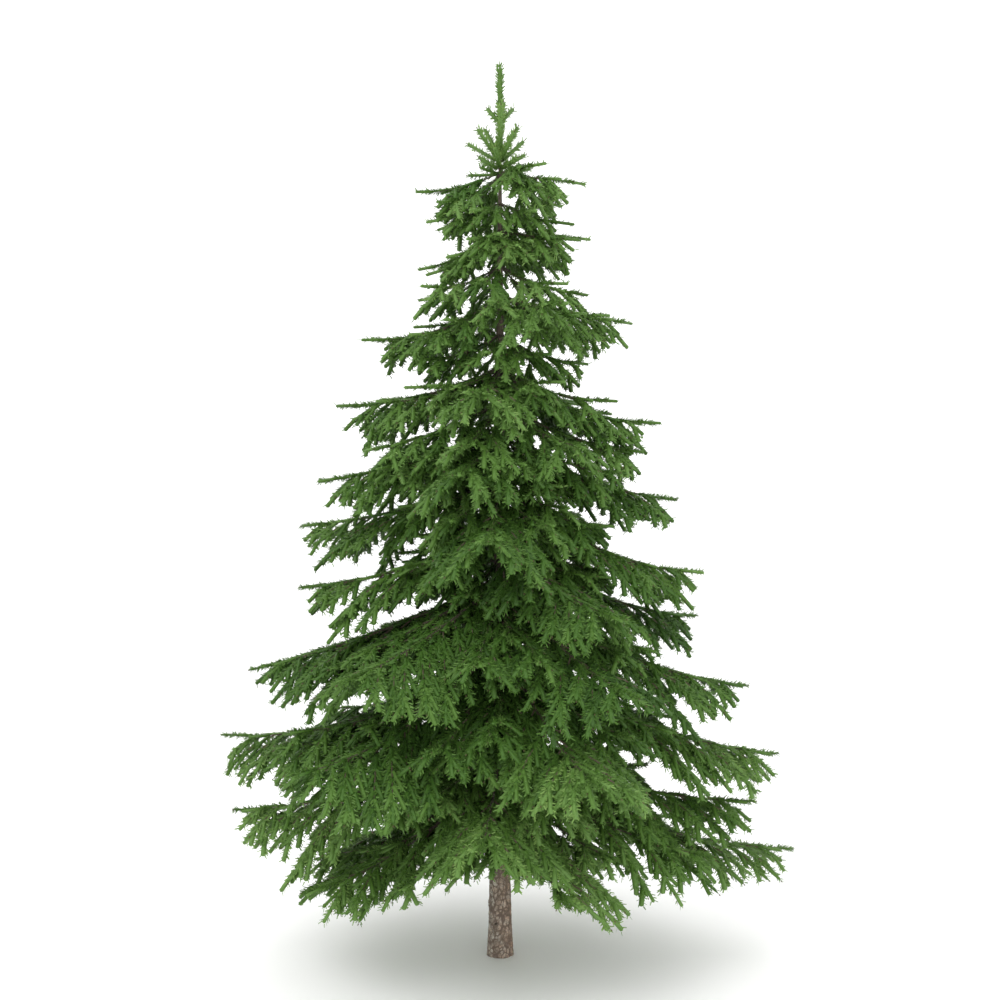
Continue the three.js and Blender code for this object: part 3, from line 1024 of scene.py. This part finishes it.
@dataclass
class Crown:
    """Everything green: the shoots of every bough and of the leader, with needles, twigs and buds.

    Angles are in degrees, and the places of shoots are shares of what carries them.
    """

    boughs: Sequence[Bough]
    angle_spread: float = 8.0
    length_spread: float = 0.2
    # Terminal shoots of main and of lesser boughs
    terminal_length: float = 0.13
    lesser_terminal: float = 0.07
    # Side shoots: where they start, and their spacing, least number and distance from the bough's tip
    first: float = 0.14
    after_limb: float = 0.05
    row: tuple[float, int, float] = (0.028, 8, 0.062)
    lesser_row: tuple[float, int, float] = (0.040, 6, 0.008)
    # Their lengths shrink towards the tip, and a wedge near the trunk stays free
    length_least: float = 0.055
    length_share: float = 0.60
    wedge: float = 1.05
    shortest: float = 0.045
    # Pairs hold a value at the bough's root and one at its tip
    fan: float = 41.0
    droops: tuple[float, float] = (19.0, 7.0)
    upper_droop: float = 10.0
    sag: float = 0.29
    bares: tuple[float, float] = (0.25, 0.05)
    densities: tuple[float, float] = (0.5, 1.4)
    lesser_density: float = 0.75
    # Twigs of the side shoots
    twig_spacing: float = 0.027
    twig_first: float = 0.14
    twig_last: float = 0.92
    twig_fan: float = 26.0
    twig_fall: float = 0.27
    twig_fall_spread: float = 0.12
    twig_least: float = 0.060
    twig_share: float = 0.12
    twig_power: float = 0.8
    twig_longest: float = 0.105
    twig_sag: float = 0.10
    twig_waist: float = 0.75
    # Short shoots along the top of a bough, numbered from "cover_order" on
    cover_order: int = 100
    cover_spacing: float = 0.055
    cover_fewest: int = 2
    cover_first: float = 0.2
    cover_last: float = 0.88
    cover_ahead: float = 0.05
    cover_length: float = 0.085
    cover_fan: float = 17.0
    cover_rise: float = 0.06
    cover_sag: float = 0.06
    # The crown's lower edge: its height at the trunk, its slope, and its least on the left and right
    skirt_height: float = 0.42
    skirt_slope: float = 0.45
    skirt_least: tuple[float, float] = (0.235, 0.265)
    # Rings of the leader, of which the last two are the lower ones that the masses don't have
    leader_rings: tuple[LeaderRing, ...] = (
        LeaderRing(2.672, 5, 0.150, 37.0, 8.0),
        LeaderRing(2.690, 3, 0.145, 57.0, 6.0),
        LeaderRing(2.805, 3, 0.080, 52.0, 6.0),
        LeaderRing(2.632, 5, 0.125, 6.0, 12.0),
        LeaderRing(2.648, 6, 0.105, 24.0, 10.0),
    )
    ring_turn: float = 0.4
    ring_outward: float = 0.9
    # How light a spray is: further out, by height, and by the draws of bough, side shoot and spray.
    # The lifts by height are mostly painted light and shade: lighter at the foot against the crown's
    # shadow there, darker in the middle as painted shade, and lighter at the top for fresher growth
    # with painted light.
    green_base: float = -0.055
    green_outward: float = 0.36
    growth_and_painted_light_lifts: tuple[tuple[float, float], ...] = (
        (0.30, 0.44), (0.62, 0.30), (0.85, 0.06), (1.15, 0.05), (1.55, 0.22), (2.00, 0.27), (2.40, 0.37),
    )
    green_draws: tuple[float, float, float] = (0.22, 0.16, 0.12)
    # Needles: wider than life, so that this many can cover the tree
    needle_budget: int = 380_000
    needle_fewest: int = 4
    needle_seed: int = 7
    needle_length: float = 13 * MM
    needle_lengths: tuple[float, float] = (0.8, 1.15)
    needle_width: float = 3.9 * MM
    needle_tip: float = 0.6
    needle_places: tuple[float, float] = (0.1, 0.9)
    needle_seat: float = 0.4
    needle_angles: tuple[float, float] = (54.0, 40.0)
    needle_angle_power: int = 8
    needle_angle_spread: float = 7.0
    comb_spread: float = 24.0
    blade_tilt: float = 0.35
    # Cores: the places and widths of their rings, and how many greens darker they are, as painted shade
    # inside each shoot
    core_flat: float = 0.62
    core_sides: int = 4
    core_rings: tuple[tuple[float, float], ...] = ((0.10, 1.0), (0.95, 0.95))
    core_painted_shade: int = 1
    bud_length: float = 8 * MM
    bud_width: float = 5 * MM
    bud_belly: float = 0.35
    bud_seat: float = 2 * MM
    # Numbers of the whorls that are joined in one piece
    groups: tuple[tuple[int, ...], ...] = ((0,), (1,), (2,), (3,), (4, 5), (6, 7), (8, 9, 10))
    core_groups: tuple[tuple[int, ...], ...] = ((0, 1, 2), (3, 4, 5, 6, 7, 8, 9, 10))
    shoots: Shoots = field(default_factory=Shoots)

    def grow(self) -> None:
        """Grows every shoot of the crown."""
        for bough in self.boughs:
            self.grow_bough(bough)
        self.grow_leader()
        LOG.info("grown: %d shoots, %.0f m", len(self.shoots.items), self.shoots.lengths().sum())

    def pick_green(self, outward: float, height: float, *keys: int) -> int:
        """Deals out a green to a spray.

        Args:
            outward: How far out on its bough the spray is, from 0 to 1.
            height: Height over the ground.
            *keys: Whole numbers that name the spray.

        Returns:
            The number of the green.
        """
        names = (keys[:2], keys[:3], keys)
        own = sum(share * chance(*name, Draw.GREEN) for share, name in zip(self.green_draws, names))
        # The lift by height is painted light at the foot and the top and painted shade in the middle,
        # with fresher growth at the top.
        lift = np.interp(height, *zip(*self.growth_and_painted_light_lifts))
        value = self.green_outward * outward + lift + own + self.green_base
        return min(int(max(value, 0.0) * len(Green)), len(Green) - 1)

    def grow_bough(self, bough: Bough) -> None:
        """Grows the axis, the terminal shoot, the covers and the side shoots of one bough."""
        first = LIMB_END + self.after_limb if bough.limbed else self.first
        self.shoots.add(bough.curve, replace(ShootKind.AXIS.value, bare=first), TIP_GREEN, bough.level)
        run = self.lesser_terminal if bough.lesser else self.terminal_length
        start, halfway, end = bough.points(np.linspace(1 - run / bough.reach, 1, 3))
        terminal = (start, 2 * halfway - (start + end) / 2, end)
        self.shoots.add(terminal, ShootKind.TERMINAL.value, TIP_GREEN, bough.level)
        self.grow_covers(bough)
        density = self.lesser_density if bough.lesser else 1.0
        spacing, fewest, clear = self.lesser_row if bough.lesser else self.row
        last = 1 - (clear + self.shortest * math.cos(math.radians(self.fan))) / bough.reach
        count = max(fewest, round((last - first) * bough.reach / spacing))
        shares = np.linspace(first, last, count)
        for index, (share, root) in enumerate(zip(shares, bough.points(shares))):
            keys = (bough.level, bough.order, index)
            side = (-1) ** (index + bough.order)
            fan = self.fan + spread(self.angle_spread, *keys, Draw.FAN)
            droop = lerp(*self.droops, share) + self.upper_droop * bough.level / TOP_LEVEL
            droop += spread(self.angle_spread, *keys, Draw.DROOP)
            forward = math.cos(math.radians(fan)) * math.cos(math.radians(droop))
            room = ((1 - share) * bough.reach - clear) / forward
            full = self.length_least + self.length_share * bough.reach * (1 - share)
            length = min(full, self.wedge * share * bough.reach, room)
            length *= 1 + spread(self.length_spread, *keys, Draw.LENGTH)
            curve = sagging_curve(root, aim(bough.heading + side * fan, -droop), length, self.sag)
            if length < self.shortest or self.hangs_too_low(curve[2]):
                continue
            needling = replace(
                ShootKind.LATERAL.value,
                bare=lerp(*self.bares, share), density=density * lerp(*self.densities, share),
            )
            self.shoots.add(curve, needling, self.pick_green(share, root[2], *keys), bough.level)
            self.grow_twigs(curve, length, share, density, keys)

    def grow_covers(self, bough: Bough) -> None:
        """Grows the short shoots that lie along the top of one bough."""
        run = (self.cover_last - self.cover_first) * bough.reach
        count = max(self.cover_fewest, round(run / self.cover_spacing))
        shares = np.linspace(self.cover_first, self.cover_last, count)
        ends = bough.points(np.minimum(shares + self.cover_ahead, 1))
        for index, (start, end) in enumerate(zip(bough.points(shares), ends)):
            keys = (bough.level, bough.order, self.cover_order + index)
            ahead = unit(end - start)
            aside = (-1) ** index * math.tan(math.radians(self.cover_fan)) * np.cross(UP, ahead)
            over = unit(ahead + aside + self.cover_rise * UP)
            size = self.cover_length * (1 + spread(self.length_spread, *keys, Draw.LENGTH))
            curve = sagging_curve(start, over, size, self.cover_sag)
            green = self.pick_green(shares[index], start[2], *keys)
            self.shoots.add(curve, ShootKind.COVER.value, green, bough.level)

    def hangs_too_low(self, tip: np.ndarray) -> bool:
        """Tells whether a shoot's tip would hang below the crown's lower edge."""
        least = self.skirt_least[int(tip[0] > 0)]
        return tip[2] < max(least, self.skirt_height - self.skirt_slope * abs(tip[0]))

    def grow_twigs(
        self, curve: Curve, length: float, share: float, density: float, keys: tuple[int, ...],
    ) -> None:
        """Grows the twigs of one side shoot.

        Args:
            curve: The side shoot's curve.
            length: Its length.
            share: Where on its bough it is.
            density: How thickly its bough is needled, with one as usual.
            keys: Whole numbers that name it, with that of its whorl first.
        """
        count = round((self.twig_last - self.twig_first) * length / self.twig_spacing)
        for index in range(count):
            t = lerp(self.twig_first, self.twig_last, (index + 0.5) / count)
            side = (-1) ** index
            start = points_along(curve, t)
            ahead = runs_along(curve, t)
            across = unit(np.cross(UP, ahead))
            fan = math.radians(self.twig_fan + spread(self.angle_spread, *keys, index, Draw.TWIG_FAN))
            fall = self.twig_fall + spread(self.twig_fall_spread, *keys, index, Draw.TWIG_FALL)
            run = unit(math.cos(fan) * ahead + side * math.sin(fan) * across - fall * UP)
            full = self.twig_least + self.twig_share * length * (1 - t) ** self.twig_power
            own = 1 + spread(self.length_spread, *keys, index, Draw.TWIG_LENGTH)
            size = min(full, self.twig_longest) * own
            twig = sagging_curve(start, run, size, self.twig_sag)
            if self.hangs_too_low(twig[2]):
                continue
            outward = (share + t) / 2
            needling = replace(ShootKind.TWIG.value, density=density * lerp(*self.densities, outward))
            self.shoots.add(twig, needling, self.pick_green(outward, start[2], *keys, index), keys[0])

    def grow_leader(self) -> None:
        """Grows the top shoot and the rings of rising shoots below it."""
        foot, top = TRUNK_TOP * UP, TREE_TOP * UP
        self.shoots.add((foot, (foot + top) / 2, top), ShootKind.LEADER.value, TIP_GREEN, TOP_LEVEL)
        for number, ring in enumerate(self.leader_rings):
            root = ring.height * UP
            for index in range(ring.shoots):
                turn = self.ring_turn * chance(Draw.RING_TURN, number, index)
                rise = ring.rise + spread(ring.rise_spread, Draw.RING_RISE, number, index)
                length = ring.length * (1 + spread(self.length_spread, Draw.RING_LENGTH, number, index))
                green = self.pick_green(self.ring_outward, ring.height, Draw.RING_GREEN, number, index)
                curve = sagging_curve(root, aim(360 * (index + turn) / ring.shoots, rise), length)
                self.shoots.add(curve, ShootKind.RING.value, green, TOP_LEVEL)

    def flatness(self, ahead: np.ndarray) -> np.ndarray:
        """Gives shoots' thickness as a share of their width: level ones are flat, rising ones round."""
        return self.core_flat + (1 - self.core_flat) * ahead[:, 2:] ** 2

    def needles(self) -> tuple[np.ndarray, np.ndarray, np.ndarray]:
        """Sets the needles round every shoot.

        Returns:
            The four corners of every needle, its green and its whorl.
        """
        rng = np.random.default_rng(self.needle_seed)
        bare = self.shoots.column("bare")
        run = self.shoots.lengths() * (1 - bare) * self.shoots.column("density")
        counts = np.round(run * self.needle_budget / run.sum()).astype(int)
        counts = np.maximum(self.needle_fewest, counts)
        owner = np.repeat(np.arange(len(counts)), counts)
        total = len(owner)
        ordinal = np.arange(total) - np.repeat(np.cumsum(counts) - counts, counts)
        part = (ordinal + rng.uniform(*self.needle_places, total)) / counts[owner]
        t = (bare[owner] + (1 - bare[owner]) * part)[:, None]
        curve = self.shoots.curves(owner)
        ahead = runs_along(curve, t)
        side, up = shoot_frame(ahead)
        turn = rng.uniform(0, 2 * math.pi, total)
        combed = rng.uniform(0, 1, total) < self.shoots.column("comb")[owner] * (1 - ahead[:, 2] ** 2)
        beside = np.pi * (ordinal % 2) + np.radians(rng.normal(0, self.comb_spread, total))
        turn = np.where(combed, beside, turn)[:, None]
        outward = np.cos(turn) * side + np.sin(turn) * up
        rim = np.cos(turn) * side + self.flatness(ahead) * np.sin(turn) * up
        seat = self.needle_seat * self.shoots.column("core")[owner]
        root = points_along(curve, t) + rim * seat[:, None]
        angle = lerp(*self.needle_angles, part**self.needle_angle_power)
        angle = np.radians(angle + rng.normal(0, self.needle_angle_spread, total))[:, None]
        point = np.cos(angle) * ahead + np.sin(angle) * outward
        length = self.needle_length * self.shoots.column("needle")[owner]
        length *= rng.uniform(*self.needle_lengths, total)
        face = up + rng.normal(0, self.blade_tilt, (total, 3))
        across = unit(np.cross(face, point)) * self.needle_width / 2
        end = root + point * length[:, None]
        narrow = self.needle_tip * across
        corners = np.stack((root - across, root + across, end + narrow, end - narrow), axis=1)
        return corners, self.shoots.greens()[owner], self.shoots.levels()[owner]

    def build_needles(self) -> list[tuple[bpy.types.Object, tuple[int, ...]]]:
        """Builds the needles as one piece for each group of whorls.

        Returns:
            The dressed pieces, each with the numbers of its whorls.
        """
        materials = [NeedleWax(green).material() for green in Green]
        corners, greens, levels = self.needles()
        pieces = []
        for group in self.groups:
            chosen = np.isin(levels, group)
            vertices = corners[chosen].reshape(-1, 3)
            faces = np.arange(len(vertices)).reshape(-1, 4)
            name = f"needles_whorl_{group[0] + 1:02d}"
            pieces.append((new_mesh(name, vertices, faces, materials, greens[chosen]), group))
        return pieces

    def build_cores(self, group: tuple[int, ...]) -> bpy.types.Object:
        """Builds the close inner needles of a group of whorls as slim cores, joined in one piece, each
        one green darker than its spray as painted shade.
        """
        core = self.shoots.column("core")
        kept = (core > 0) & np.isin(self.shoots.levels(), group)
        radius = core[kept] / 2
        bare = self.shoots.column("bare")[kept][:, None]
        curve = self.shoots.curves(kept)
        ahead = unit(curve[2] - curve[0])
        side, up = shoot_frame(ahead)
        turns = np.linspace(0, 2 * math.pi, self.core_sides, endpoint=False)
        around = ring_round(turns, side, up * self.flatness(ahead))
        rows = []
        for place, width in ((0.0, 0.0), *self.core_rings, (1.0, 0.0)):
            middle = points_along(curve, bare + (1 - bare) * place)[:, None]
            rows.append(middle + around * (width * radius)[:, None, None] if width else middle)
        vertices = np.concatenate(rows, axis=1)
        last = vertices.shape[1] - 1
        here = np.arange(self.core_sides)
        beside = (here + 1) % self.core_sides
        final = last - self.core_sides
        root_end = np.stack((np.zeros_like(here), 1 + beside, 1 + here), axis=-1)
        tip_end = np.stack((final + here, final + beside, np.full_like(here, last)), axis=-1)
        one = np.concatenate((root_end, tube_faces(len(self.core_rings), self.core_sides) + 1, tip_end))
        # Painted shade: each core takes the green one step darker than its spray's.
        greens = np.maximum(self.shoots.greens()[kept] - self.core_painted_shade, 0)
        return new_mesh(
            f"needle_cores_whorl_{group[0] + 1:02d}", vertices.reshape(-1, 3),
            repeat_faces(one, last + 1, len(radius)), [NeedleWax(green).material() for green in Green],
            np.repeat(greens, len(one)), smooth=True,
        )

    def build_twigs(self) -> bpy.types.Object:
        """Builds the three-sided twigs of the shoots with bare wood as one piece."""
        wood = self.shoots.column("wood")
        kept = wood > 0
        radius = wood[kept][:, None, None] / 2
        curve = self.shoots.curves(kept)
        around = ring_round(THIRDS, *shoot_frame(unit(curve[2] - curve[0]))) * radius
        foot = curve[0][:, None] + around
        waist = points_along(curve, 0.5)[:, None] + self.twig_waist * around
        vertices = np.concatenate((foot, waist, curve[2][:, None]), axis=1)
        one = np.concatenate((tube_faces(2, 3), ((3, 4, 6), (4, 5, 6), (5, 3, 6))))
        faces = repeat_faces(one, vertices.shape[1], len(vertices))
        return new_mesh("twigs", vertices.reshape(-1, 3), faces, [TwigSkin(Wood.TWIG).material()])

    def build_buds(self) -> bpy.types.Object:
        """Builds the pointed buds at the tips of boughs and side shoots as one piece."""
        kept = (self.shoots.column("wood") > 0) | (self.shoots.column("core") == 0)
        _, middles, tips = self.shoots.curves(kept)
        ahead = unit(tips - middles)
        around = ring_round(THIRDS, *shoot_frame(ahead)) * self.bud_width / 2
        belly = (tips + self.bud_belly * self.bud_length * ahead)[:, None] + around
        foot = (tips - self.bud_seat * ahead)[:, None]
        point = (tips + self.bud_length * ahead)[:, None]
        vertices = np.concatenate((belly, foot, point), axis=1)
        one = np.array(((0, 1, 4), (1, 2, 4), (2, 0, 4), (1, 0, 3), (2, 1, 3), (0, 2, 3)))
        faces = repeat_faces(one, vertices.shape[1], len(vertices))
        return new_mesh("buds", vertices.reshape(-1, 3), faces, [TwigSkin(Wood.BUD_SCALE).material()])


@dataclass
class Studio:
    """A plain pale floor, soft light and the camera at the photograph's viewing angle."""

    distance: float = 4.2
    eye: float = 1.533
    lens: float = 44.75
    sensor: float = 36.0
    floor_size: float = 80.0
    floor_colour: str = "#fbfbfa"
    floor_roughness: float = 0.9
    sky: str = "#ffffff"
    sky_strength: float = 1.38
    key_place: tuple[float, float, float] = (-2.6, -3.6, 5.2)
    key_size: float = 3.0
    key_power: float = 80.0
    fill_place: tuple[float, float, float] = (1.6, -4.6, 0.7)
    fill_size: float = 2.5
    fill_power: float = 50.0

    def add_light(self, name: str, place: tuple[float, float, float], size: float, power: float) -> None:
        """Adds a soft light that faces the tree.

        Args:
            name: The light's name.
            place: Where it stands.
            size: Width of its square.
            power: Its power in watts.
        """
        lamp = bpy.data.lights.new(name, "AREA")
        lamp.size = size
        lamp.energy = power
        light = bpy.data.objects.new(name, lamp)
        light.location = place
        aim_at = Vector((0, 0, min(self.eye, place[2]))) - light.location
        light.rotation_euler = aim_at.to_track_quat("-Z", "Y").to_euler()
        bpy.context.scene.collection.objects.link(light)

    def build(self) -> None:
        """Builds the floor, the lights and the camera."""
        half = self.floor_size / 2
        corners = np.array(((-half, -half, 0), (half, -half, 0), (half, half, 0), (-half, half, 0)))
        paint, _ = new_material("matt_studio_paint", {
            "Base Color": linear(self.floor_colour), "Roughness": self.floor_roughness,
        })
        new_mesh("floor", corners, np.array(((0, 1, 2, 3),)), [paint])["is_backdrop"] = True
        scene = bpy.context.scene
        scene.view_settings.view_transform = "Standard"
        world = bpy.data.worlds.new("studio")
        world.use_nodes = True
        backdrop = world.node_tree.nodes["Background"]
        backdrop.inputs["Color"].default_value = linear(self.sky)
        backdrop.inputs["Strength"].default_value = self.sky_strength
        scene.world = world
        self.add_light("key", self.key_place, self.key_size, self.key_power)
        self.add_light("fill", self.fill_place, self.fill_size, self.fill_power)
        view = bpy.data.cameras.new("camera")
        view.lens = self.lens
        view.sensor_width = self.sensor
        camera = bpy.data.objects.new("camera", view)
        camera.location = (0, -self.distance, self.eye)
        camera.rotation_euler = (math.pi / 2, 0, 0)
        scene.collection.objects.link(camera)
        scene.camera = camera


def main() -> None:
    """Builds the studio and the tree, piece by piece, and works out both boxes."""
    logging.basicConfig(level=logging.INFO, format="%(name)s: %(message)s")
    Studio().build()
    boughs = list_boughs(LesserRule(), InnerRule())
    trunk = Trunk()
    settle(trunk.build(), ["trunk"])
    limbs = [f"limb_{bough.name}" for bough in boughs if bough.limbed]
    settle(BoughWood().build(boughs, trunk), limbs)
    crown = Crown(boughs)
    crown.grow()
    for piece, group in crown.build_needles():
        marks = tuple(f"needles_{level + 1:02d}_" for level in group)
        nodes = [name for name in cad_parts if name.startswith(marks)]
        if TOP_LEVEL in group:
            nodes.append("leader")
        settle(piece, nodes)
    for group in crown.core_groups:
        settle(crown.build_cores(group), [])
    settle(crown.build_twigs(), [])
    settle(crown.build_buds(), [])
    boxes = {"cad": CAD_BOX, "visual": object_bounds()}
    {name: [list(corner) for corner in box] for name, box in boxes.items()}


if __name__ == "__main__":
    main()
